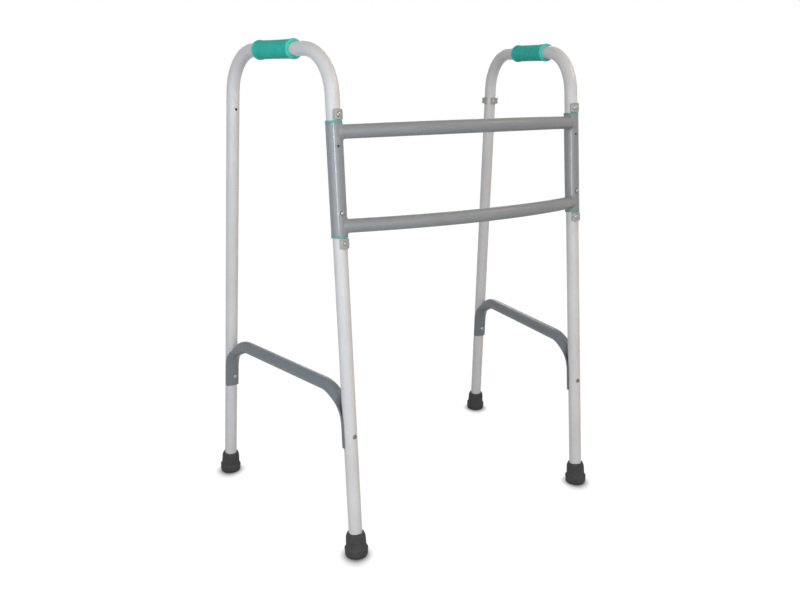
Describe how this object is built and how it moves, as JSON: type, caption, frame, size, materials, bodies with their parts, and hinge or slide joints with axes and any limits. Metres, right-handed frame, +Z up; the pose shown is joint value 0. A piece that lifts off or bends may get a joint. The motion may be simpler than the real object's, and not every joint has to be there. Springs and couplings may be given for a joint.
{
  "type": "folding walker",
  "caption": "Folding walking frame of bent tube: two inverted-U side frames hinged in the sleeves of a bowed front panel, with hand grips, push-button locks, low braces and rubber feet.",
  "frame": {"origin": "on the floor, at the centre of the walker's footprint box", "axes": "+Z up from the floor; -Y towards the front panel, so the user stands on the +Y side; +X towards the side frame that carries the storage clip"},
  "size_m": [0.7172, 0.4908, 0.9047],
  "materials": {
    "white_coat": "gloss",
    "grey_coat": "gloss",
    "teal_bush": "satin",
    "teal_grip": "satin",
    "black_rubber": "matte",
    "clear_grey_plastic": "satin",
    "bright_steel": "polished"
  },
  "bodies": {
    "front_panel": {"left_sleeve": "grey_coat", "right_sleeve": "grey_coat", "upper_crossbar": "grey_coat", "lower_crossbar": "grey_coat", "left_upper_bush": "teal_bush", "left_lower_bush": "teal_bush", "right_upper_bush": "teal_bush", "right_lower_bush": "teal_bush"},
    "left_side": {"left_side_tube": "white_coat", "left_brace": "grey_coat", "left_grip": "teal_grip", "left_front_rivet": "bright_steel", "left_rear_rivet": "bright_steel", "left_front_ferrule": "black_rubber", "left_rear_ferrule": "black_rubber", "left_front_washer": "bright_steel", "left_rear_washer": "bright_steel", "left_upper_stop": "clear_grey_plastic", "left_lower_stop": "clear_grey_plastic", "left_upper_stop_screw": "bright_steel", "left_lower_stop_screw": "bright_steel", "left_button_spring": "bright_steel"},
    "right_side": {"right_side_tube": "white_coat", "right_brace": "grey_coat", "right_grip": "teal_grip", "right_front_rivet": "bright_steel", "right_rear_rivet": "bright_steel", "right_front_ferrule": "black_rubber", "right_rear_ferrule": "black_rubber", "right_front_washer": "bright_steel", "right_rear_washer": "bright_steel", "right_upper_stop": "clear_grey_plastic", "right_lower_stop": "clear_grey_plastic", "right_upper_stop_screw": "bright_steel", "right_lower_stop_screw": "bright_steel", "right_button_spring": "bright_steel", "storage_clip": "clear_grey_plastic", "clip_screw": "bright_steel"},
    "left_button": {"left_lock_button": "bright_steel"},
    "right_button": {"right_lock_button": "bright_steel"}
  },
  "joints": [
    {"name": "left_side_fold", "type": "hinge", "parent": "front_panel", "child": "left_side", "pos_m": [-0.269, -0.22342, 0], "axis": [-0.0063, -0.0856, -0.9963], "range_deg": [0, 101], "deforming": ["left_lock_button"]},
    {"name": "right_side_fold", "type": "hinge", "parent": "front_panel", "child": "right_side", "pos_m": [0.269, -0.22342, 0], "axis": [-0.0063, 0.0856, 0.9963], "range_deg": [0, 93], "deforming": ["right_lock_button"]},
    {"name": "left_button_press", "type": "slide", "parent": "left_side", "child": "left_button", "axis": [0, 0.9963, -0.0856], "range_m": [0, 0.0042], "stiffness_N_per_m": 1500, "springref_m": -0.004, "deforming": ["left_button_spring"]},
    {"name": "right_button_press", "type": "slide", "parent": "right_side", "child": "right_button", "axis": [0, 0.9963, -0.0856], "range_m": [0, 0.0042], "stiffness_N_per_m": 1500, "springref_m": -0.004, "deforming": ["right_button_spring"]}
  ]
}
